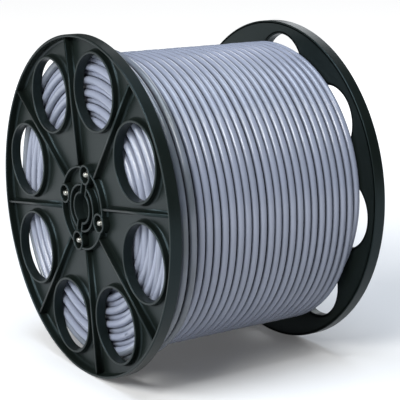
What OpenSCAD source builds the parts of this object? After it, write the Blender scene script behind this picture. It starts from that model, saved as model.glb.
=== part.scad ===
// Plastic cable drum wound with round sheathed cable.
// Two ribbed flanges with hand holes, a plain barrel and four tie rods.
// The drum lies on its rims with its axis along Y and its front flange at -Y.

/* [Drum] */
// Flange diameter
flange_d = 500; // [440:5:640]
// Width over both flanges
drum_w = 363; // [240:1:460]
// Outside diameter of the barrel
barrel_d = 200; // [170:5:230]
// Wall of the barrel
barrel_wall = 5; // [3:0.5:10]

/* [Flange] */
// Thickness of a flange at its rim
flange_t = 18; // [15:0.5:26]
// Thickness of the web between the ribs
web_t = 5; // [4:0.5:9]
// Wall of the rim
rim_wall = 4; // [3:0.5:8]
// Rounding of the rim's edges
rim_round = 1.2; // [0.5:0.1:1.4]
// Number of ribs, with one hand hole between each two
rib_count = 8; // [6:1:9]
// Thickness of a rib
rib_t = 4; // [3:0.5:8]
// Angle from the X axis to the first rib
rib_phase = 8; // [0:1:44]
// Angle by which the rear flange's ribs and hand holes are turned from the front's
rear_turn = 8; // [0:1:22]
// Height of the ring inside the flange that centres the barrel
spigot_h = 8; // [4:1:20]
// Clearance between the barrel and the ring that centres it
spigot_fit = 0.3; // [0.1:0.1:0.6]

/* [Hand holes] */
// Diameter of a hand hole
hole_d = 107; // [80:1:112]
// Diameter of the circle through the hand holes' centres
hole_pcd = 358; // [340:1:370]
// Wall of the collar around a hand hole
collar_wall = 4; // [3:0.5:6]
// Depth of a collar's lip below the rim
collar_drop = 3; // [0:0.5:6]

/* [Hub] */
// Outside diameter of the hub's wall
hub_d = 124; // [118:1:134]
// Thin walls of the hub, its bosses and the spindle tube
hub_wall = 3.5; // [3:0.5:4.5]
// Depth of the hub's lip below the rim
hub_drop = 3; // [2:0.5:6]
// Height of the bosses' lips above the hub's lip
boss_rise = 0.8; // [0.5:0.1:1.5]
// Step from the hub's lip down to the ribs that meet it
rib_dip = 0.6; // [0.4:0.1:1.5]
// Diameter of the spindle bore
bore_d = 42; // [30:1:44]
// Length of the spindle bore's tube
bore_len = 40; // [20:1:60]
// Outside diameter of the ring around the spindle tube
ring_d = 72; // [66:1:74]
// Width of the two keyways in the spindle bore
keyway_w = 10; // [6:0.5:12]
// Depth of a keyway beyond the bore, which takes it through the inner ring
keyway_depth = 16; // [4:0.5:16.5]

/* [Tie rods] */
// Diameter of the circle through the tie rods
rod_pcd = 105; // [103:1:108]
// Diameter of a tie rod
rod_d = 8; // [6:1:10]
// Diameter of the recess that takes a nut
recess_d = 23; // [20:0.5:24]
// Depth of the recess
recess_h = 14; // [12:0.5:16]
// Thickness of the boss floor under the nut
boss_floor = 9; // [6:0.5:14]
// Diameter of a washer
washer_d = 20; // [16:0.5:20]
// Thickness of a washer
washer_t = 1.6; // [1:0.1:2.5]
// Nut size across its flats
nut_af = 13; // [10:1:15]
// Thickness of a nut
nut_t = 6.5; // [5:0.5:9]
// Clearance around a tie rod in its hole
rod_fit = 0.5; // [0.2:0.1:1]
// Clearance around a tie rod in its washer and nut
thread_fit = 0.1; // [0.05:0.05:0.2]

/* [Cable] */
// Diameter of the cable
cable_d = 11.5; // [8:0.5:14]
// Turns across the drum
turns = 25; // [18:1:27]
// Layers of cable
layers = 12; // [8:1:13]
// Diameter over the winding
winding_d = 438; // [400:1:450]
// Clearance between the winding and the plastic
winding_fit = 0.3; // [0.2:0.1:1]

/* [Hidden] */
$fn = 96;

flange_r = flange_d / 2;
inner_w = drum_w - 2 * flange_t;
hole_phase = rib_phase + 180 / rib_count;
hub_top = flange_t - hub_drop;
collar_top = flange_t - collar_drop;
recess_r = max(recess_d, washer_d + 2) / 2;
boss_r = recess_r + hub_wall;
boss_top = hub_top + boss_rise;
recess_floor = boss_top - recess_h;
boss_back = recess_floor - boss_floor;
rod_phase = hole_phase + 360 / rib_count;
bore_r = bore_d / 2;
keyway_end = rod_pcd / 2 - recess_r - hub_wall / 2;
bore_back = hub_top - bore_len;
rod_len = inner_w + 2 * boss_top;
rod_hole_r = rod_d / 2 + rod_fit;
thread_r = rod_d / 2 + thread_fit;
nut_r = nut_af / 2 / cos(30);
barrel_r = barrel_d / 2;
spigot_r = barrel_r - barrel_wall - spigot_fit;
past = 1;

wind_bore_r = barrel_r + winding_fit;
wind_half_w = inner_w / 2 - winding_fit;
turn_pitch = (2 * wind_half_w - cable_d) / (turns - 1);
first_layer_r = wind_bore_r + cable_d / 2;
last_layer_r = winding_d / 2 - cable_d / 2;
layer_pitch = (last_layer_r - first_layer_r) / (layers - 1);
core_half_w = wind_half_w - cable_d / 2 - turn_pitch / 4;

plastic = [0.10, 0.12, 0.11];
steel = [0.72, 0.72, 0.68];
sheath = [0.70, 0.73, 0.78];

// Lays the drum on its rims, with the drum's own +Z towards -Y
module lay_down() {
    translate([0, 0, flange_r]) rotate([90, 0, 0]) children();
}

// Puts a piece at one of the four tie rods
module at_rod(index) {
    rotate(rod_phase + 90 * index) translate([rod_pcd / 2, 0, 0]) children();
}

// Puts a flange-shaped thing at the front, its inner face on the drum's inside
module at_front() {
    translate([0, 0, inner_w / 2]) children();
}

// The same at the rear, as a mirror image
module at_rear() {
    mirror([0, 0, 1]) at_front() children();
}

// Ring between two radii, from one height to another
module ring(outer_r, inner_r, low, high) {
    translate([0, 0, low]) difference() {
        cylinder(r = outer_r, h = high - low);
        translate([0, 0, -past]) cylinder(r = inner_r, h = high - low + 2 * past);
    }
}

// Section of the rim and web, from the hub out, with rounded rim edges
module rim_section() {
    inner_r = flange_r - rim_wall;
    union() {
        translate([bore_r, 0]) square([inner_r - bore_r + past, web_t]);
        translate([inner_r, rim_round]) square([rim_wall, flange_t - 2 * rim_round]);
        translate([inner_r, 0]) square([rim_wall - rim_round, flange_t - rim_round]);
        translate([inner_r + rim_round, 0]) square([rim_wall - 2 * rim_round, flange_t]);
        for (z = [rim_round, flange_t - rim_round])
            translate([flange_r - rim_round, z]) circle(r = rim_round);
        translate([inner_r + rim_round, flange_t - rim_round]) circle(r = rim_round);
    }
}

// One rib, from the hub's lip up to the rim's
module rib() {
    start = hub_d / 2 - hub_wall / 2;
    end = flange_r - rim_wall / 2;
    rotate([90, 0, 0]) translate([0, 0, -rib_t / 2]) linear_extrude(rib_t)
        polygon([[start, 0], [end, 0], [end, flange_t - rim_round], [start, hub_top - rib_dip]]);
}

// Ring between two diameters, flat
module flat_ring(outer_d, wall) {
    difference() {
        circle(d = outer_d);
        circle(d = outer_d - 2 * wall);
    }
}

// Plan of the hub's walls: outer wall, inner ring, spindle tube and keyway walls
module hub_plan() {
    flat_ring(hub_d, hub_wall);
    flat_ring(ring_d, hub_wall);
    flat_ring(bore_d + 2 * hub_wall, hub_wall);
    for (side = [0, 180]) rotate(rod_phase + side)
        translate([bore_r + hub_wall / 2, -keyway_w / 2 - hub_wall])
            square([keyway_end - bore_r - hub_wall / 2, keyway_w + 2 * hub_wall]);
}

module hub_boss() {
    translate([0, 0, boss_back]) cylinder(r = boss_r, h = boss_top - boss_back);
}

module hub_boss_cuts() {
    translate([0, 0, recess_floor]) cylinder(r = recess_r, h = recess_h + past);
    translate([0, 0, boss_back - past]) cylinder(r = rod_hole_r, h = boss_floor + 2 * past);
}

// One flange, its inner face at zero and its outer face up, with its ribs and holes turned
module flange(turn) {
    difference() {
        union() {
            rotate_extrude($fn = 180) rim_section();
            for (i = [0 : rib_count - 1]) rotate(rib_phase + turn + i * 360 / rib_count) rib();
            for (i = [0 : rib_count - 1]) rotate(hole_phase + turn + i * 360 / rib_count)
                translate([hole_pcd / 2, 0, 0])
                    cylinder(d = hole_d + 2 * collar_wall, h = collar_top);
            translate([0, 0, web_t / 2]) linear_extrude(hub_top - web_t / 2) hub_plan();
            ring(spigot_r, spigot_r - hub_wall, -spigot_h, web_t / 2);
            ring(bore_r + hub_wall, bore_r, bore_back, web_t / 2);
            for (i = [0 : 3]) at_rod(i) hub_boss();
        }
        for (i = [0 : rib_count - 1]) rotate(hole_phase + turn + i * 360 / rib_count)
            translate([hole_pcd / 2, 0, -past]) cylinder(d = hole_d, h = flange_t + 2 * past);
        for (side = [0, 180]) rotate(rod_phase + side)
            translate([0, -keyway_w / 2, -past])
                cube([bore_r + keyway_depth, keyway_w, flange_t + past]);
        translate([0, 0, bore_back - past]) cylinder(r = bore_r, h = bore_len + 2 * past);
        for (i = [0 : 3]) at_rod(i) hub_boss_cuts();
    }
}

module front_flange() {
    color(plastic) lay_down() at_front() flange(0);
}

module rear_flange() {
    color(plastic) lay_down() at_rear() flange(rear_turn);
}

module barrel() {
    color(plastic) lay_down()
        ring(barrel_r, barrel_r - barrel_wall, -inner_w / 2, inner_w / 2);
}

// Section of the winding: turns show outside, layers show at both ends
module winding_section() {
    translate([wind_bore_r, -core_half_w])
        square([last_layer_r - wind_bore_r, 2 * core_half_w]);
    for (i = [0 : turns - 1])
        translate([last_layer_r, -wind_half_w + cable_d / 2 + i * turn_pitch])
            circle(d = cable_d);
    for (side = [-1, 1], k = [0 : layers - 1])
        translate([last_layer_r - k * layer_pitch,
                   side * (wind_half_w - cable_d / 2 - (k % 2) * turn_pitch / 2)])
            circle(d = cable_d);
}

module cable_winding() {
    color(sheath) lay_down() rotate_extrude($fn = 180) winding_section();
}

module tie_rod(index) {
    color(steel) lay_down() at_rod(index)
        translate([0, 0, -rod_len / 2]) cylinder(d = rod_d, h = rod_len);
}

module washer(index) {
    color(steel) at_rod(index)
        ring(washer_d / 2, thread_r, recess_floor, recess_floor + washer_t);
}

module nut(index) {
    color(steel) at_rod(index) translate([0, 0, recess_floor + washer_t]) difference() {
        cylinder(r = nut_r, h = nut_t, $fn = 6);
        translate([0, 0, -past]) cylinder(r = thread_r, h = nut_t + 2 * past);
    }
}

front_flange();
rear_flange();
barrel();
cable_winding();
tie_rod(0);  // tie_rod_1
tie_rod(1);  // tie_rod_2
tie_rod(2);  // tie_rod_3
tie_rod(3);  // tie_rod_4
lay_down() at_front() washer(0);  // front_washer_1
lay_down() at_front() washer(1);  // front_washer_2
lay_down() at_front() washer(2);  // front_washer_3
lay_down() at_front() washer(3);  // front_washer_4
lay_down() at_rear() washer(0);  // rear_washer_1
lay_down() at_rear() washer(1);  // rear_washer_2
lay_down() at_rear() washer(2);  // rear_washer_3
lay_down() at_rear() washer(3);  // rear_washer_4
lay_down() at_front() nut(0);  // front_nut_1
lay_down() at_front() nut(1);  // front_nut_2
lay_down() at_front() nut(2);  // front_nut_3
lay_down() at_front() nut(3);  // front_nut_4
lay_down() at_rear() nut(0);  // rear_nut_1
lay_down() at_rear() nut(1);  // rear_nut_2
lay_down() at_rear() nut(2);  // rear_nut_3
lay_down() at_rear() nut(3);  // rear_nut_4
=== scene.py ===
from math import pi, radians
import bpy
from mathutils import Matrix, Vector
import numpy as np


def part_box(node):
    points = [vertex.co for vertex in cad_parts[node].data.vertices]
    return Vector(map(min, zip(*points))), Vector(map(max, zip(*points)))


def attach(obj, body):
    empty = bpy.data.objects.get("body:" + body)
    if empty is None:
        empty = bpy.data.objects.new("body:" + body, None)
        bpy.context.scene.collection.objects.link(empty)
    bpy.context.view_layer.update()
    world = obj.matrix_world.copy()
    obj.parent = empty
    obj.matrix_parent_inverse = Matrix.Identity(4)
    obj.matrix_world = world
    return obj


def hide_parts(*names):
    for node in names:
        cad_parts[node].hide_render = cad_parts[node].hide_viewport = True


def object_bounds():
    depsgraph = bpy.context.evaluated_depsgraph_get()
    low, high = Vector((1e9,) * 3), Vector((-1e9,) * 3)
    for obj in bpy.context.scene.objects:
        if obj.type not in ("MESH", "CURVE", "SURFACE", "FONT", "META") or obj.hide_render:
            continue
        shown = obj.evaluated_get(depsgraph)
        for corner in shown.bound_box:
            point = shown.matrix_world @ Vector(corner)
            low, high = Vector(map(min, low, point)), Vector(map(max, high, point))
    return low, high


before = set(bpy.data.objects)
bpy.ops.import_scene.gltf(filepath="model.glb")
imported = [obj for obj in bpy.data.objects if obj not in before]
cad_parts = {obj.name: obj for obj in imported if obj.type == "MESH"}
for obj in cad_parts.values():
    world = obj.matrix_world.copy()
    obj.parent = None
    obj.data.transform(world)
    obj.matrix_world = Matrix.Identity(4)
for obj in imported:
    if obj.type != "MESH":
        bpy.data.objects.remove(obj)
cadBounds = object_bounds()
mm = 0.001

# Sizes that the frame gives, in millimetres: the rims, the drum's width and the winding
flangeLow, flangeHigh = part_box("front_flange")
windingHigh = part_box("cable_winding")[1]
axisHeight = float(flangeLow[2] + flangeHigh[2]) / 2 / mm
rimRadius = float(flangeHigh[2]) / mm - axisHeight
drumHalfWidth = float(cadBounds[1][1]) / mm
windingRadius = float(windingHigh[2]) / mm - axisHeight
windingHalfWidth = float(windingHigh[1]) / mm


# Closed outline through corners (x, y, rounding). Each rounding is an arc between its two tangent
# points, in equal steps: the two radii blended by the sines of the angles left and covered. A
# support point on either side keeps the flats flat in smooth shading.
def roundedLoop(corners, steps=4, support=0.25):
    points = []
    corners = [np.array(corner, float) for corner in corners]
    for before, corner, after in zip(corners[-1:] + corners[:-1], corners, corners[1:] + corners[:1]):
        tip, rounding = corner[:2], corner[2]
        if rounding == 0:
            points.append(tip)
            continue
        toBefore = (before[:2] - tip) / np.linalg.norm(before[:2] - tip)
        toAfter = (after[:2] - tip) / np.linalg.norm(after[:2] - tip)
        half = 0.5 * np.arccos(np.clip(toBefore @ toAfter, -1, 1))
        bisector = (toBefore + toAfter) / np.linalg.norm(toBefore + toAfter)
        centre = tip + bisector * rounding / np.sin(half)
        start = tip + toBefore * rounding / np.tan(half)
        end = tip + toAfter * rounding / np.tan(half)
        turn = pi - 2 * half
        share = np.linspace(0, 1, steps + 1)[:, None]
        arc = centre + (np.sin((1 - share) * turn) * (start - centre)
                        + np.sin(share * turn) * (end - centre)) / np.sin(turn)
        points += [start + toBefore * support, *arc, end + toAfter * support]
    return np.array(points)


# Closed skin over a grid of points, where a point's number is its row times the columns plus its
# column. Columns close on themselves, rows close or end in flat caps, and the faces are turned
# outwards by the sign of the volume that they enclose.
def shell(points, closedRows=True, smooth=True):
    rows, columns = points.shape[:2]
    row = np.arange(rows if closedRows else rows - 1)[:, None]
    column = np.arange(columns)[None]
    nextRow, nextColumn = (row + 1) % rows, (column + 1) % columns
    corners = np.broadcast_arrays(row * columns + column, row * columns + nextColumn,
                                  nextRow * columns + nextColumn, nextRow * columns + column)
    faces = [np.stack(corners, -1).reshape(-1, 4)]
    if not closedRows:
        cap = np.arange(columns)[None]
        faces += [cap[:, ::-1], (rows - 1) * columns + cap]
    places = points.reshape(-1, 3)
    volume = 0
    for block in faces:
        first = places[block[:, 0]]
        for k in range(1, block.shape[1] - 1):
            volume += (first * np.cross(places[block[:, k]], places[block[:, k + 1]])).sum()
    if volume < 0:
        faces = [block[:, ::-1] for block in faces]
    return places, faces, smooth


# An outline of (radius, height) carried round an upright axis: a point is the centre plus its
# radius times (cosine, sine) of the turn, at its height
def lathe(profile, segments, centre=(0, 0)):
    turn = np.linspace(0, 2 * pi, segments, endpoint=False)[:, None]
    radius, height = profile[:, 0][None], profile[:, 1][None]
    return shell(np.stack([centre[0] + radius * np.cos(turn), centre[1] + radius * np.sin(turn),
                           height + 0 * turn], -1))


# An outline of (offset, height) carried along a flat path: a point is the path's point plus the
# offset times the path's normal there, at its height
def wallAlong(path, normals, profile, closed):
    places = path[:, None] + normals[:, None] * profile[None, :, :1]
    heights = np.broadcast_to(profile[None, :, 1:], places.shape[:2] + (1,))
    return shell(np.concatenate([places, heights], -1), closedRows=closed)


# Flat plate between two closed outlines with the same number of points: each pair of points gives
# a rectangle from the inner one to the outer one and from low to high
def plateBetween(inner, outer, low, high):
    def at(outline, height):
        return np.column_stack([outline, np.full(len(outline), float(height))])
    edges = [at(inner, high), at(outer, high), at(outer, low), at(inner, low)]
    return shell(np.stack(edges, 1), smooth=False)


# A skin turned about the drum's axis, by the angle's cosine and sine
def turned(skin, angle):
    places, faces, smooth = skin
    c, s = np.cos(angle), np.sin(angle)
    return places @ np.array([[c, s, 0], [-s, c, 0], [0, 0, 1]]), faces, smooth


# Drum millimetres to the frame: the drum's own z runs towards -Y, and its y is up. A rear piece
# is the mirror image of a front one.
def toFrame(skins, rear=False):
    placed = []
    for places, faces, smooth in skins:
        x, y, z = places.T
        placed.append((np.stack([x, z if rear else -z, y + axisHeight], -1) * mm,
                       [block[:, ::-1] for block in faces] if rear else faces, smooth))
    return placed


# One mesh from several skins, with their points end to end, on the root body
def makePiece(name, skins, material, replaced, attributes=()):
    counts = np.cumsum([0] + [len(places) for places, _, _ in skins])
    blocks = [(block + start, smooth) for start, (_, faces, smooth) in zip(counts, skins)
              for block in faces]
    sizes = np.concatenate([np.full(len(block), block.shape[1]) for block, _ in blocks])
    mesh = bpy.data.meshes.new(name)
    mesh.vertices.add(int(counts[-1]))
    mesh.vertices.foreach_set("co", np.concatenate([places for places, _, _ in skins]).ravel())
    mesh.loops.add(int(sizes.sum()))
    mesh.loops.foreach_set("vertex_index", np.concatenate([block.ravel() for block, _ in blocks]))
    mesh.polygons.add(len(sizes))
    mesh.polygons.foreach_set("loop_start", np.concatenate([[0], np.cumsum(sizes)[:-1]]))
    smoothFlags = np.concatenate([np.full(len(block), smooth) for block, smooth in blocks])
    mesh.polygons.foreach_set("use_smooth", smoothFlags)
    for attributeName, kind, values in attributes:
        attribute = mesh.attributes.new(attributeName, kind, "POINT")
        attribute.data.foreach_set("vector" if kind == "FLOAT_VECTOR" else "value", values.ravel())
    mesh.update(calc_edges=True)
    mesh.validate()
    mesh.materials.append(material)
    piece = bpy.data.objects.new(name, mesh)
    bpy.context.collection.objects.link(piece)
    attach(piece, "root")
    if replaced:
        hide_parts(*replaced)


print("stage: materials")


# A node with its settings, and each input linked to a socket or given its value
def nodeIn(tree, kind, inputs=(), **settings):
    node = tree.nodes.new(kind)
    for key, value in settings.items():
        setattr(node, key, value)
    for key, value in dict(inputs).items():
        if isinstance(value, bpy.types.NodeSocket):
            tree.links.new(value, node.inputs[key])
        else:
            node.inputs[key].default_value = value
    return node


# From one colour to another as the factor goes from 0 to 1
def toneBetween(tree, factor, first, second):
    return nodeIn(tree, "ShaderNodeMix", {0: factor, 6: first, 7: second}, data_type="RGBA").outputs[2]


# A value from start to end laid over the range from low to high, and held at its ends
def ranged(tree, value, start, end, low, high):
    limits = {"Value": value, "From Min": start, "From Max": end, "To Min": low, "To Max": high}
    return nodeIn(tree, "ShaderNodeMapRange", limits).outputs[0]


# An empty node group with its named sockets, and the nodes for what goes in and comes out
def newGroup(name, inputs, outputs):
    group = bpy.data.node_groups.new(name, "ShaderNodeTree")
    for socketName, kind, default in inputs:
        socket = group.interface.new_socket(socketName, in_out="INPUT", socket_type=kind)
        if default is not None:
            socket.default_value = default
    for socketName, kind in outputs:
        group.interface.new_socket(socketName, in_out="OUTPUT", socket_type=kind)
    return group, group.nodes.new("NodeGroupInput"), group.nodes.new("NodeGroupOutput")


grainSizes = dict(fineDetail=2.0, coarseDetail=3.0, depth=0.0004)  # depth in metres


# Grain from two sizes of noise: the height for bump is fine times coarse plus coarse, and the mask
# for tone is the coarse noise alone
def surfaceGrain(size):
    group, given, made = newGroup(
        "surfaceGrain",
        [("Vector", "NodeSocketVector", None), ("Scale", "NodeSocketFloat", 600.0),
         ("Coarse", "NodeSocketFloat", 40.0), ("Strength", "NodeSocketFloat", 0.2)],
        [("Normal", "NodeSocketVector"), ("Mask", "NodeSocketFloat")])
    place = given.outputs["Vector"]
    fine = nodeIn(group, "ShaderNodeTexNoise", {"Vector": place, "Scale": given.outputs["Scale"],
                                                "Detail": size["fineDetail"]}).outputs["Fac"]
    coarse = nodeIn(group, "ShaderNodeTexNoise", {"Vector": place, "Scale": given.outputs["Coarse"],
                                                  "Detail": size["coarseDetail"]}).outputs["Fac"]
    height = nodeIn(group, "ShaderNodeMath", {0: fine, 1: coarse, 2: coarse}, operation="MULTIPLY_ADD")
    bump = nodeIn(group, "ShaderNodeBump", {"Strength": given.outputs["Strength"],
                                            "Distance": size["depth"], "Height": height.outputs[0]})
    group.links.new(bump.outputs["Normal"], made.inputs["Normal"])
    group.links.new(coarse, made.inputs["Mask"])
    return group


grainGroup = surfaceGrain(grainSizes)


# A material in one plain colour, with any other sockets of its shader set
def newMaterial(name, color, **sockets):
    material = bpy.data.materials.new(name)
    material.use_nodes = True
    material.diffuse_color = (*color, 1)
    shader = material.node_tree.nodes["Principled BSDF"]
    shader.inputs["Base Color"].default_value = (*color, 1)
    for key, value in sockets.items():
        shader.inputs[key].default_value = value
    return material, material.node_tree, shader


# The look's grain over a surface: bump for the shader, and the mask and the roughness it gives
def addGrain(tree, shader, place, look):
    grain = nodeIn(tree, "ShaderNodeGroup", {"Vector": place, "Scale": look["grain"],
                                             "Coarse": look["coarse"], "Strength": look["relief"]},
                   node_tree=grainGroup)
    tree.links.new(grain.outputs["Normal"], shader.inputs["Normal"])
    return grain.outputs["Mask"], ranged(tree, grain.outputs["Mask"], 0.0, 1.0, *look["roughness"])


plasticLook = dict(
    base=(0.003, 0.005, 0.004), worn=(0.007, 0.009, 0.008), roughness=(0.28, 0.42), specular=0.2,
    tint=(0.60, 0.88, 1.0), grain=900.0, coarse=22.0, relief=0.12, boreMatt=21.2, boreGlossy=22.5)


# Black moulded plastic, a little uneven in tone and gloss. It is matt in the spindle bore: its
# roughness falls from 1 between two distances from the drum's axis.
def makeDrumPlastic(look):
    material, tree, shader = newMaterial("drumPlastic", look["base"])
    shader.inputs["Specular IOR Level"].default_value = look["specular"]
    shader.inputs["Specular Tint"].default_value = (*look["tint"], 1)
    place = nodeIn(tree, "ShaderNodeTexCoord").outputs["Object"]
    mask, shine = addGrain(tree, shader, place, look)
    tone = toneBetween(tree, mask, (*look["base"], 1), (*look["worn"], 1))
    parts = nodeIn(tree, "ShaderNodeSeparateXYZ", {0: place})
    height = nodeIn(tree, "ShaderNodeMath", {0: parts.outputs["Z"], 1: axisHeight * mm},
                    operation="SUBTRACT")
    across = nodeIn(tree, "ShaderNodeCombineXYZ", {0: parts.outputs["X"], 1: height.outputs[0]})
    fromAxis = nodeIn(tree, "ShaderNodeVectorMath", {0: across.outputs[0]}, operation="LENGTH")
    bore = ranged(tree, fromAxis.outputs["Value"], look["boreMatt"] * mm, look["boreGlossy"] * mm, 1.0, 0.0)
    rough = nodeIn(tree, "ShaderNodeMath", {0: shine, 1: bore}, operation="MAXIMUM")
    tree.links.new(tone, shader.inputs["Base Color"])
    tree.links.new(rough.outputs[0], shader.inputs["Roughness"])
    return material


# The sheath's darkest colour is painted shade, laid down in the grooves between turns
sheathLook = dict(
    base=(0.215, 0.236, 0.306), dullAndShaded=(0.095, 0.108, 0.125), paintedGrooveShade=(0.035, 0.038, 0.046),
    roughness=(0.17, 0.27), grain=500.0, coarse=9.0, relief=0.05, grooveEnd=0.05, crest=0.68)


# Cable sheath: dull in patches that run along the cable, by the mask times each turn's own tone, which
# is high on the raised turns as painted shade of the front rim, and painted shade in the grooves between
# turns
def makeCableSheath(look):
    material, tree, shader = newMaterial("cableSheath", look["base"])
    space = nodeIn(tree, "ShaderNodeAttribute", attribute_name="cableSpace").outputs["Vector"]
    turnToneAndShade = nodeIn(tree, "ShaderNodeAttribute", attribute_name="turnToneAndShade").outputs["Fac"]
    facing = nodeIn(tree, "ShaderNodeAttribute", attribute_name="facing").outputs["Fac"]
    mask, shine = addGrain(tree, shader, space, look)
    # Painted shade: a high tone, as on the raised turns by the front flange, darkens them towards the dull
    # colour
    darkening = nodeIn(tree, "ShaderNodeMath", {0: mask, 1: turnToneAndShade}, operation="MULTIPLY")
    tone = toneBetween(tree, darkening.outputs[0], (*look["base"], 1), (*look["dullAndShaded"], 1))
    # painted shade: the colour darkens towards the groove colour where the cable faces into the grooves
    # between turns
    openness = ranged(tree, facing, look["grooveEnd"], look["crest"], 0.0, 1.0)
    shaded = toneBetween(tree, openness, (*look["paintedGrooveShade"], 1), tone)
    tree.links.new(shaded, shader.inputs["Base Color"])
    tree.links.new(shine, shader.inputs["Roughness"])
    return material


zincLook = dict(
    base=(0.36, 0.36, 0.33), stained=(0.20, 0.20, 0.18), darkened=(0.05, 0.05, 0.045),
    roughness=(0.22, 0.45), grain=1500.0, coarse=260.0, relief=0.1, nutDarkening=0.85)


# Zinc plate, stained in spots by the mask, and darker on the nuts and washers, by an attribute that each
# piece carries
def makeZincSteel(look):
    material, tree, shader = newMaterial("zincSteel", look["base"], Metallic=1.0)
    place = nodeIn(tree, "ShaderNodeTexCoord").outputs["Object"]
    mask, shine = addGrain(tree, shader, place, look)
    darkening = nodeIn(tree, "ShaderNodeAttribute", attribute_name="darkening").outputs["Fac"]
    tone = toneBetween(tree, mask, (*look["base"], 1), (*look["stained"], 1))
    tree.links.new(toneBetween(tree, darkening, tone, (*look["darkened"], 1)), shader.inputs["Base Color"])
    tree.links.new(shine, shader.inputs["Roughness"])
    return material


drumPlastic = makeDrumPlastic(plasticLook)
cableSheath = makeCableSheath(sheathLook)
zincSteel = makeZincSteel(zincLook)

print("stage: flanges")

# Heights count from the flange's inner face. A wall's foot runs out just under the web's face and
# ends sunk in the web, and skins that meet lap into each other.
flangeSizes = dict(
    thickness=18, web=5, flush=0.08, sunk=2, skirt=0.6, lip=1.1, foot=3.5, hiddenEdge=0.4,
    rimWall=4, rimEdge=1.2, rimFoot=4, rimSkirt=5, rimLap=2, sectorEdge=75,
    ribs=8, ribThickness=4, ribPhase=radians(8), rearTurn=radians(8), ribDip=0.6, ribEndDip=1.2, ribLap=1.5,
    holeRadius=53.5, holeCentre=179, holeEdge=1.5, collarWall=4, collarTop=15,
    hubRadius=62, hubWall=3.5, hubTop=15, hubGap=radians(11.5), innerRing=36, ringGap=radians(13.5),
    ringFoot=1.5, boreRadius=21, boreBack=-25, boreEdge=0.6, boreSkin=1.8, boreLap=0.5,
    keywayHalf=5, keywayReach=38, keywayWall=3, mouthRound=2.2, slotRound=2.0, slotOuterRound=0.5,
    rods=4, rodCentre=52.5, rodHole=4.5, recessRadius=11.5, recessDepth=14, recessRound=1,
    bossFloor=9, bossRise=0.8, bossLap=1.5, spigotRadius=94.7, spigotHeight=8, backEdge=0.8, backLap=1)
flangeSteps = dict(rim=360, collar=128, boss=96, spigot=180, tube=120, hole=160, hubArc=60, ringArc=70,
                   keyArc=40, keyCorner=5)


# Section of a thin wall across its middle line: rounded lip, straight sides and a flared foot on
# either side, which is cut down where the wall is too low for it
def wallSection(size, width, top, foot, innerFoot):
    room = top - size["web"] - size["lip"] - size["skirt"]
    outer, inner = min(foot, room), min(innerFoot, room)
    w, ground, deep = width / 2, size["web"] - size["flush"], size["web"] - size["sunk"]
    return roundedLoop([
        (-w, top, size["lip"]), (w, top, size["lip"]), (w, ground, outer),
        (w + outer + size["skirt"], ground, 0), (w + outer + size["skirt"], deep, 0),
        (-w - inner - size["skirt"], deep, 0), (-w - inner - size["skirt"], ground, 0),
        (-w, ground, inner)])


# Plate of one sector with a round hole: rays from the hole's centre run out to the nearest of the
# sector's two arcs, by the cosine rule, and its two straight sides, by the sine rule
def sectorPlate(centre, hole, innerRadius, outerRadius, halfAngle, low, high):
    corners = [np.arctan2(side * r * np.sin(halfAngle), r * np.cos(halfAngle) - centre)
               for r in (innerRadius, outerRadius) for side in (-1, 1)]
    evenly = np.linspace(-pi, pi, flangeSteps["hole"], endpoint=False)
    ray = np.unique(np.concatenate([evenly, corners]))
    with np.errstate(all="ignore"):
        outerArc = np.sqrt(outerRadius ** 2 - (centre * np.sin(ray)) ** 2) - centre * np.cos(ray)
        innerArc = -np.sqrt(innerRadius ** 2 - (centre * np.sin(ray)) ** 2) - centre * np.cos(ray)
        sides = [centre * np.sin(halfAngle) / np.sin(s * ray - halfAngle) for s in (-1, 1)]
    reach = outerArc
    for distance in (innerArc, *sides):
        reach = np.where((distance > 0) & (distance < reach), distance, reach)
    direction = np.column_stack([np.cos(ray), np.sin(ray)])
    middle = np.array([centre, 0.0])
    return plateBetween(middle + hole * direction, middle + reach[:, None] * direction, low, high)


# Round outline with two slots: points on the circle between the slots, clear of the mouths, and the
# rounded corners of each mouth and slot end, placed along the slot's direction and across it
def keyedOutline(radius, halfWidth, reach, angles, mouthRound, slotRound, clear=0.12):
    mouth = np.arcsin(halfWidth / radius)
    corners = []
    for angle in angles:
        c, s = np.cos(angle), np.sin(angle)
        for along, across, rounding in (
                (radius * np.cos(mouth), -halfWidth, mouthRound), (reach, -halfWidth, slotRound),
                (reach, halfWidth, slotRound), (radius * np.cos(mouth), halfWidth, mouthRound)):
            corners.append((along * c - across * s, along * s + across * c, rounding))
        arc = np.linspace(angle + mouth + clear, angle + pi - mouth - clear, flangeSteps["keyArc"])
        corners += [(radius * np.cos(a), radius * np.sin(a), 0) for a in arc]
    return roundedLoop(corners, steps=flangeSteps["keyCorner"], support=0.2)


# Normals of a closed flat path: the way from the point before to the point after, a quarter turned
def outwardNormals(path):
    along = np.roll(path, -1, 0) - np.roll(path, 1, 0)
    normal = np.column_stack([along[:, 1], -along[:, 0]])
    return normal / np.linalg.norm(normal, axis=1)[:, None]


# The rim as one turned ring, with its foot on the web
def rimSkin(size):
    top, inside, edge = size["thickness"], rimRadius - size["rimWall"], size["rimEdge"]
    ground, skirt = size["web"] - size["flush"], inside - size["rimSkirt"]
    return lathe(roundedLoop([
        (rimRadius, 0, edge), (rimRadius, top, edge), (inside, top, edge),
        (inside, ground, size["rimFoot"]), (skirt, ground, 0), (skirt, size["web"] - size["sunk"], 0),
        (inside, 0, size["hiddenEdge"])]), flangeSteps["rim"])


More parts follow.
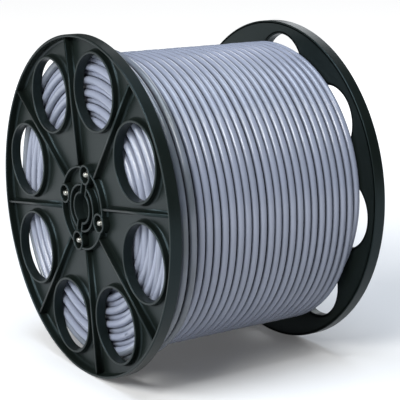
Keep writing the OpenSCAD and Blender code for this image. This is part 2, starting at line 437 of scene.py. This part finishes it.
# The web in equal sectors, round the hand holes and round the bosses
def webSkins(size, holeAngles, rodAngles):
    outerSector = sectorPlate(size["holeCentre"], size["holeRadius"] + size["collarWall"] / 2,
                              size["sectorEdge"], rimRadius - size["rimWall"] + size["rimLap"],
                              pi / size["ribs"], 0, size["web"])
    innerSector = sectorPlate(size["rodCentre"], size["recessRadius"] + size["bossLap"],
                              size["innerRing"] - size["hubWall"] / 2, size["sectorEdge"],
                              pi / size["rods"], 0, size["web"])
    return ([turned(outerSector, angle) for angle in holeAngles]
            + [turned(innerSector, angle) for angle in rodAngles])


# A turned collar round each hand hole, from the inner face to its lip
def collarSkins(size, holeAngles):
    r, outside, top = size["holeRadius"], size["holeRadius"] + size["collarWall"], size["collarTop"]
    ground, skirt = size["web"] - size["flush"], outside + size["foot"] + size["skirt"]
    collar = roundedLoop([
        (r, 0, size["holeEdge"]), (r, top, size["lip"]), (outside, top, size["lip"]),
        (outside, ground, size["foot"]), (skirt, ground, 0), (skirt, size["web"] - size["sunk"], 0),
        (outside, 0, size["hiddenEdge"])])
    return [lathe(collar, flangeSteps["collar"],
                  size["holeCentre"] * np.array([np.cos(angle), np.sin(angle)])) for angle in holeAngles]


# Ribs: straight from a section at the hub to a higher one at the rim
def ribSkins(size, ribAngles):
    start = size["hubRadius"] - size["hubWall"] / 2
    end = rimRadius - size["rimWall"] + size["ribLap"]
    sections = [wallSection(size, size["ribThickness"], height, size["foot"], size["foot"])
                for height in (size["hubTop"] - size["ribDip"], size["thickness"] - size["ribEndDip"])]
    rib = shell(np.stack([np.column_stack([np.full(len(section), reach), section])
                          for section, reach in zip(sections, (start, end))]), closedRows=False)
    return [turned(rib, angle) for angle in ribAngles]


# A round wall in equal arcs, from each angle to the next less a gap at either end
def arcWalls(radius, section, angles, gap, steps):
    walls = []
    for angle in angles:
        turn = np.linspace(angle + gap, angle + 2 * pi / len(angles) - gap, steps)
        direction = np.column_stack([np.cos(turn), np.sin(turn)])
        walls.append(wallAlong(radius * direction, direction, section, False))
    return walls


# The hub's wall from boss to boss, and its inner ring from keyway to keyway
def hubSkins(size, rodAngles, keyAngles):
    wall, top, foot = size["hubWall"], size["hubTop"], size["ringFoot"]
    hubSection = wallSection(size, wall, top, size["foot"], foot)
    ringSection = wallSection(size, wall, top, foot, foot)
    return (arcWalls(size["hubRadius"] - wall / 2, hubSection, rodAngles, size["hubGap"],
                     flangeSteps["hubArc"])
            + arcWalls(size["innerRing"] - wall / 2, ringSection, keyAngles, size["ringGap"],
                       flangeSteps["ringArc"]))


# The keyed spindle tube as two skins, one for each face of its wall, and the floor round it, whose
# outer edge lies on the inner ring in the same direction from the axis
def spindleSkins(size, keyAngles):
    wall, skin, top, lip = size["hubWall"], size["boreSkin"], size["hubTop"], size["lip"]
    deep = size["web"] - size["sunk"]
    bore = keyedOutline(size["boreRadius"], size["keywayHalf"], size["keywayReach"], keyAngles,
                        size["mouthRound"], size["slotRound"])
    outside = keyedOutline(size["boreRadius"] + wall, size["keywayHalf"] + wall,
                           size["keywayReach"] + size["keywayWall"], keyAngles,
                           size["mouthRound"], size["slotOuterRound"])
    boreWall = roundedLoop([(0, 0, size["boreEdge"]), (0, top, lip), (skin, top, 0), (skin, 0, 0)])
    outerWall = roundedLoop([(0, deep, 0), (0, top, lip), (-skin, top, 0), (-skin, deep, 0)])
    boreNormals = outwardNormals(bore)
    inside = bore + boreNormals * skin / 2
    ringMiddle = size["innerRing"] - wall / 2
    outer = ringMiddle * inside / np.linalg.norm(inside, axis=1)[:, None]
    return [wallAlong(bore, boreNormals, boreWall, True),
            wallAlong(outside, outwardNormals(outside), outerWall, True),
            plateBetween(inside, outer, 0, size["web"])]


# Turned bosses with a recess each, round the rods
def bossSkins(size, rodAngles):
    top, outside = size["hubTop"] + size["bossRise"], size["recessRadius"] + size["hubWall"]
    recess = top - size["recessDepth"]
    low = recess - size["bossFloor"]
    boss = roundedLoop([
        (size["rodHole"], low, size["hiddenEdge"]), (outside, low, size["recessRound"]),
        (outside, top, size["lip"]), (size["recessRadius"], top, size["lip"]),
        (size["recessRadius"], recess, size["recessRound"]), (size["rodHole"], recess, size["hiddenEdge"])])
    return [lathe(boss, flangeSteps["boss"], size["rodCentre"] * np.array([np.cos(angle), np.sin(angle)]))
            for angle in rodAngles]


# Behind the web, the ring that the barrel seats on and the back of the spindle tube
def backSkins(size):
    outer, inner, wall, edge = size["spigotRadius"], size["boreRadius"], size["hubWall"], size["backEdge"]
    spigot = roundedLoop([(outer - wall, size["backLap"], 0), (outer - wall, -size["spigotHeight"], edge),
                          (outer, -size["spigotHeight"], edge), (outer, size["backLap"], 0)])
    tube = roundedLoop([(inner, size["boreLap"], 0), (inner, size["boreBack"], edge),
                        (inner + wall, size["boreBack"], edge), (inner + wall, size["backLap"], 0)])
    return [lathe(spigot, flangeSteps["spigot"]), lathe(tube, flangeSteps["tube"])]


# One flange. Its ribs and hand holes go round with the given turn, and the rods and keyways don't.
def flangeSkins(size, turn):
    step = 2 * pi / size["ribs"] * np.arange(size["ribs"])
    ribAngles = size["ribPhase"] + turn + step
    holeAngles = size["ribPhase"] + turn + pi / size["ribs"] + step
    rodPhase = size["ribPhase"] + 3 * pi / size["ribs"]
    rodAngles = rodPhase + 2 * pi / size["rods"] * np.arange(size["rods"])
    keyAngles = rodPhase + np.array([0, pi])
    skins = [rimSkin(size), *webSkins(size, holeAngles, rodAngles), *collarSkins(size, holeAngles),
             *ribSkins(size, ribAngles), *hubSkins(size, rodAngles, keyAngles),
             *spindleSkins(size, keyAngles), *bossSkins(size, rodAngles), *backSkins(size)]
    innerHalf = drumHalfWidth - size["thickness"]
    return [(places + [0, 0, innerHalf], faces, smooth) for places, faces, smooth in skins]


makePiece("frontFlange", toFrame(flangeSkins(flangeSizes, 0)), drumPlastic,
          ["front_flange"])
makePiece("rearFlange", toFrame(flangeSkins(flangeSizes, flangeSizes["rearTurn"]), rear=True),
          drumPlastic, ["rear_flange"])
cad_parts["barrel"].data.materials.clear()
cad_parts["barrel"].data.materials.append(drumPlastic)

print("stage: winding")

windingSizes = dict(
    cable=11.5, turns=24.5, layers=12, barrel=100.3, step=radians(-20), stepWidth=radians(50),
    dive=9.5, wideGap=2.0, gapRise=0.5, knotStep=0.5, wander=0.5, lift=0.25, lead=0.2, tail=0.3,
    samples=200, sides=16, tone=0.45)
underSizes = dict(samples=90, sides=8, tone=0.5)
# The raised turns' high tone darkens their colour: painted shade of the front rim
topSizes = dict(rounds=3, climb=radians(217), extra=radians(32), crossings=(pi / 2, radians(195)),
                spread=1.06, sink=1.05, lead=0.1, samples=680, tone=1.75)
endSizes = dict(turns=2, samples=160, sides=12, change=0.4, spare=0.3, wave=0.3, waveStep=1.7,
                tones=(0.2, 0.8))
cableRadius = windingSizes["cable"] / 2
lastLayer = windingRadius - cableRadius
layerPitch = (lastLayer - windingSizes["barrel"] - cableRadius) / (windingSizes["layers"] - 1)
turnPitch = (2 * windingHalfWidth - windingSizes["cable"] - windingSizes["wideGap"]) / windingSizes["turns"]
chance = np.random.default_rng(7)


# Smooth rise from 0 to 1: three times the square less twice the cube
def ease(value):
    share = np.clip(value, 0, 1)
    return share * share * (3 - 2 * share)


# How far the lay has moved on, in turns, after going round by an angle: the cable runs straight
# and moves sideways by half a turn in two crossing zones half a round apart
def layShift(angle):
    rounds = angle / (2 * pi)
    whole = np.floor(rounds)
    part = (rounds - whole) * 2 * pi
    width = windingSizes["stepWidth"]
    first = ease((part - (pi - width) / 2) / width)
    second = ease((part - (pi - width) / 2 - pi) / width)
    return whole + 0.5 * first + 0.5 * second


# 1 where the cable lies in the layer below, before its rise and after its fall, and 0 in between
def sunkShare(travelled, rise, fall, width):
    return 1 - ease((travelled - rise) / width) + ease((travelled - fall) / width)


# Round tube along a path of (angle, radius, y): rings stand square to the drum's round. With it go
# its space along and across the cable, and how openly each point lies: the spin's cosine or, by a
# flange, the distance past the last gap in cable radii, whichever is larger.
def tubeSkin(angle, radius, along, closed, sides):
    spin = np.linspace(0, 2 * pi, sides, endpoint=False)
    ringRadius = radius[:, None] + cableRadius * np.cos(spin)
    ringAlong = along[:, None] + cableRadius * np.sin(spin)
    places = np.stack([ringRadius * np.cos(angle)[:, None], ringRadius * np.sin(angle)[:, None],
                       -ringAlong], -1)
    length = np.concatenate([[0], np.cumsum(np.abs(np.diff(angle)) * radius[1:])])
    space = np.stack([np.broadcast_to(length[:, None], ringRadius.shape),
                      np.broadcast_to(cableRadius * np.cos(spin), ringRadius.shape),
                      np.broadcast_to(cableRadius * np.sin(spin), ringRadius.shape)], -1)
    towardsEnd = (np.abs(ringAlong) - windingHalfWidth + cableRadius + turnPitch / 2) / cableRadius
    facing = np.maximum(np.cos(spin), towardsEnd)
    return shell(places, closedRows=closed), space.reshape(-1, 3) * mm, facing.ravel()


# One piece of cable from several tubes, each with its own tone; a high tone darkens the colour, as painted
# shade on the raised turns
def cablePiece(name, tubes, tones, replaced=()):
    skins = [skin for skin, _, _ in tubes]
    space = np.concatenate([space for _, space, _ in tubes])
    facing = np.concatenate([facing for _, _, facing in tubes])
    toneOf = np.concatenate([np.full(len(space), tone) for (_, space, _), tone in zip(tubes, tones)])
    makePiece(name, toFrame(skins), cableSheath, replaced,
              [("cableSpace", "FLOAT_VECTOR", space), ("turnToneAndShade", "FLOAT", toneOf),
               ("facing", "FLOAT", facing)])


# One layer from flange to flange. It rises out of the layer below at one flange and dives back into
# it at the other, both in a crossing zone. The gap after as many turns as the raised rounds is wider,
# and the cable wanders on straight lines between chance values.
def windLayer(radius, samples, sides, direction=1):
    size, width, turns = windingSizes, windingSizes["stepWidth"], windingSizes["turns"]
    rise = -pi / 2 - width / 2
    fall = 2 * pi * turns + pi / 2 - width / 2
    travelled = np.linspace(rise - size["lead"], fall + width + size["tail"], int(samples * turns))
    angle = size["step"] - pi / 2 - travelled
    shift = np.clip(layShift(travelled), 0, turns)
    rounds = travelled / (2 * pi)
    knots = np.arange(-1, turns + 3, size["knotStep"])
    sway = np.interp(rounds, knots, chance.uniform(-1, 1, len(knots)))
    height = np.interp(rounds, knots, chance.uniform(-1, 1, len(knots)))
    inside = np.clip(np.minimum(shift, turns - shift), 0, 1)
    along = (-windingHalfWidth + cableRadius + turnPitch * shift
             + size["wideGap"] * ease((shift - topSizes["rounds"]) / size["gapRise"])
             + size["wander"] * sway * inside)
    path = radius - size["dive"] * sunkShare(travelled, rise, fall, width) + size["lift"] * (height - 1)
    return tubeSkin(angle, path, direction * along, False, sides)


# The first rounds of one layer more, by the front flange. They climb out of the layer below on the
# drum's underside, move on by half a turn in each crossing and dive back on the underside too.
def topTurnsSkin(size):
    width = windingSizes["stepWidth"]
    rise = -size["climb"] - width / 2
    fall = rise + 2 * pi * size["rounds"] + size["extra"]
    travelled = np.linspace(rise - size["lead"], fall + width + size["lead"], size["samples"])
    angle = windingSizes["step"] - 3 * pi / 2 - travelled
    shift = np.zeros(len(travelled))
    for k in range(size["rounds"]):
        for crossing in size["crossings"]:
            shift += 0.5 * ease((travelled - crossing - 2 * pi * k + width / 2) / width)
    path = lastLayer + layerPitch * (1 - size["sink"] * sunkShare(travelled, rise, fall, width))
    along = -windingHalfWidth + cableRadius + size["spread"] * turnPitch * shift
    return tubeSkin(angle, path, along, False, windingSizes["sides"])


# The layers' last turns against a flange, one behind the other, with a slight wave. Layers stand in
# by half a turn by turns. They change over at the crossing zones, where the cosine of the angle
# from midway between the zones is small.
def endTurns(side, size):
    tubes = []
    angle = np.linspace(0, 2 * pi, size["samples"], endpoint=False)
    change = size["change"]
    halfTurn = ease((np.cos(angle - windingSizes["step"] - pi / 2) + change) / (2 * change))
    for layer in range(1, windingSizes["layers"]):
        radius = lastLayer - layer * layerPitch
        offset = halfTurn if (layer + (side < 0)) % 2 else 1 - halfTurn
        wave = size["wave"] * np.sin(angle * 2 + layer * size["waveStep"] + side)
        for turn in range(size["turns"]):
            along = (windingHalfWidth - cableRadius - turnPitch * (turn + 0.5 * offset)
                     - size["spare"] + wave)
            tubes.append(tubeSkin(angle, np.full(len(angle), radius), side * along, True, size["sides"]))
    return tubes, chance.uniform(*size["tones"], len(tubes))


outerLayer = windLayer(lastLayer, windingSizes["samples"], windingSizes["sides"])
cablePiece("outerTurns", [outerLayer, topTurnsSkin(topSizes)], [windingSizes["tone"], topSizes["tone"]],
           ["cable_winding"])
underLayer = windLayer(lastLayer - layerPitch, underSizes["samples"], underSizes["sides"], -1)
cablePiece("underTurns", [underLayer], [underSizes["tone"]])
cablePiece("frontEndTurns", *endTurns(-1, endSizes))
cablePiece("rearEndTurns", *endTurns(1, endSizes))

print("stage: tie rods")

hardware = dict(
    rodRadius=4, rodEnd=15.8, rodSides=32, thread=24, pitch=1.25, pitchSteps=4, threadDepth=0.6,
    runOut=3, endClear=1, endChamfer=0.9, bore=4.1, boreRound=0.2, washerRadius=10, washer=1.6,
    washerRound=0.3, washerSteps=48, seat=1.8, nutFlats=13, nut=6.5, nutSteps=96, coneSlope=0.58,
    coneShare=0.96, nutChamfer=0.5)


# Round bar with a thread cut into both ends. There its radius is the bar's less the thread's depth
# times a triangle wave of height / pitch + turn / (2 pi), and the very ends are chamfered.
def rodSkin(size, innerHalf):
    end = innerHalf + size["rodEnd"]
    start = end - size["thread"]
    threaded = np.arange(start, end - size["endClear"], size["pitch"] / size["pitchSteps"])
    height = np.concatenate([[-end], -threaded[::-1], threaded, [end]])[:, None]
    turn = np.linspace(0, 2 * pi, size["rodSides"], endpoint=False)[None]
    wave = 2 * np.abs((height / size["pitch"] + turn / (2 * pi)) % 1 - 0.5)
    cut = size["threadDepth"] * np.clip((np.abs(height) - start) / size["runOut"], 0, 1)
    radius = size["rodRadius"] - cut * wave - size["endChamfer"] * (np.abs(height) >= end)
    return shell(np.stack([radius * np.cos(turn), radius * np.sin(turn), height + 0 * turn], -1),
                 closedRows=False, smooth=False)


# Six-sided nut, its top corners cut away by a cone: the side's radius is half the flats' width over
# the cosine of the angle from the nearest flat's middle, and the cone falls from a share of that
# half width by its slope times the distance.
def nutSkin(size, low, phase):
    turn = np.linspace(0, 2 * pi, size["nutSteps"], endpoint=False)
    half, chamfer = size["nutFlats"] / 2, size["nutChamfer"]
    side = half / np.cos((turn + pi / 6) % (pi / 3) - pi / 6)
    high, coneStart = low + size["nut"], size["coneShare"] * half
    edge = high - size["coneSlope"] * (side - coneStart)
    rings = [(size["bore"], low), (side, low), (side, edge), (coneStart, high),
             (size["bore"] + chamfer, high), (size["bore"], high - chamfer)]
    return shell(np.stack([np.stack([radius * np.cos(turn + phase), radius * np.sin(turn + phase),
                                     height + 0 * turn], -1) for radius, height in rings], 1),
                 smooth=False)


# Rods evenly round the hubs, with a washer and a nut on each end, down in the bosses' recesses
def hardwareSkins(size):
    innerHalf = drumHalfWidth - flangeSizes["thickness"]
    seat = innerHalf + size["seat"]
    rods, fasteners = [], []
    washerOutline = roundedLoop([
        (size["bore"], 0, size["boreRound"]), (size["washerRadius"], 0, size["washerRound"]),
        (size["washerRadius"], size["washer"], size["washerRound"]),
        (size["bore"], size["washer"], size["boreRound"])])
    washer = lathe(washerOutline + [0, seat], size["washerSteps"])
    rodPlaces, rodFaces, rodSmooth = rodSkin(size, innerHalf)
    for k in range(flangeSizes["rods"]):
        angle = flangeSizes["ribPhase"] + 3 * pi / flangeSizes["ribs"] + k * 2 * pi / flangeSizes["rods"]
        place = flangeSizes["rodCentre"] * np.array([np.cos(angle), np.sin(angle), 0])
        rods += toFrame([(rodPlaces + place, rodFaces, rodSmooth)])
        for rear in (False, True):
            nut = nutSkin(size, seat + size["washer"], chance.uniform(0, pi / 3))
            fasteners += toFrame([(skin[0] + place, *skin[1:]) for skin in (washer, nut)], rear)
    return rods, fasteners


rods, fasteners = hardwareSkins(hardware)
makePiece("tieRods", rods, zincSteel, [f"tie_rod_{k}" for k in range(1, 5)])
points = sum(len(places) for places, _, _ in fasteners)
makePiece("nutsAndWashers", fasteners, zincSteel,
          [f"{end}_{kind}_{k}" for end in ("front", "rear")
           for kind in ("washer", "nut") for k in range(1, 5)],
          [("darkening", "FLOAT", np.full(points, zincLook["nutDarkening"]))])

print("stage: floor, light and camera")

floorLook = dict(half=8, color=(0.62, 0.62, 0.62), roughness=0.9, glowStart=0.5, glowEnd=2.8,
                 glowLow=0.08, glowHigh=0.9)
half = floorLook["half"]
floorMesh = bpy.data.meshes.new("floor")
floorMesh.from_pydata([(-half, -half, 0), (half, -half, 0), (half, half, 0), (-half, half, 0)],
                      [], [(0, 1, 2, 3)])
floor = bpy.data.objects.new("floor", floorMesh)
bpy.context.collection.objects.link(floor)
floorMaterial, tree, shader = newMaterial("paleFloor", floorLook["color"], Roughness=floorLook["roughness"])
# the floor glows more the further it is from the drum, up to the backdrop's white
place = nodeIn(tree, "ShaderNodeTexCoord")
reach = nodeIn(tree, "ShaderNodeVectorMath", {0: place.outputs["Object"]}, operation="LENGTH")
glow = ranged(tree, reach.outputs["Value"], floorLook["glowStart"], floorLook["glowEnd"],
              floorLook["glowLow"], floorLook["glowHigh"])
tree.links.new(glow, shader.inputs["Emission Color"])
shader.inputs["Emission Strength"].default_value = 1.0
floorMesh.materials.append(floorMaterial)

# a faint even fill, while the backdrop itself shows white
skyLook = dict(color=(0.95, 0.97, 1, 1), fill=0.06, shown=1.0)
world = bpy.data.worlds.new("studio")
world.use_nodes = True
sky = world.node_tree.nodes["Background"]
sky.inputs["Color"].default_value = skyLook["color"]
lightPath = nodeIn(world.node_tree, "ShaderNodeLightPath")
skyStrength = ranged(world.node_tree, lightPath.outputs["Is Camera Ray"], 0.0, 1.0,
                     skyLook["fill"], skyLook["shown"])
world.node_tree.links.new(skyStrength, sky.inputs["Strength"])
bpy.context.scene.world = world

# square soft lamps, all turned to one point in the drum
aimPoint = np.array([0, 0, 0.25])
lamps = [
    dict(name="keyLamp", place=(1.1, -2.1, 2.0), width=1.3, power=96, color=(1, 1, 0.98)),
    dict(name="frontLamp", place=(-0.9, -3.0, 1.3), width=1.2, power=72, color=(0.95, 0.97, 1)),
    dict(name="topLamp", place=(0.4, -0.2, 3.9), width=2.4, power=132, color=(0.79, 0.88, 1)),
    dict(name="backLamp", place=(-1.8, 2.6, 2.0), width=2.0, power=36, color=(0.95, 0.97, 1)),
    dict(name="sparkLamp", place=(1.4, 0.0, 3.0), width=0.2, power=12, color=(1, 1, 1)),
]
for lamp in lamps:
    light = bpy.data.lights.new(lamp["name"], "AREA")
    light.shape, light.size = "SQUARE", lamp["width"]
    light.energy, light.color = lamp["power"], lamp["color"]
    lightObject = bpy.data.objects.new(lamp["name"], light)
    bpy.context.collection.objects.link(lightObject)
    lightObject.location = lamp["place"]
    aim = aimPoint - np.array(lamp["place"])
    lightObject.rotation_euler = Vector(aim).to_track_quat("-Z", "Y").to_euler()

cameraSizes = dict(lens=120.27, sensor=36, place=(1.6751, -1.0596, 0.6805), turn=(77.413, 0.65, 56.898))
cameraData = bpy.data.cameras.new("camera")
cameraData.lens, cameraData.sensor_width = cameraSizes["lens"], cameraSizes["sensor"]
camera = bpy.data.objects.new("camera", cameraData)
bpy.context.collection.objects.link(camera)
camera.location = cameraSizes["place"]
camera.rotation_euler = [radians(degrees) for degrees in cameraSizes["turn"]]
bpy.context.scene.camera = camera
bpy.context.scene.view_settings.view_transform = "Standard"
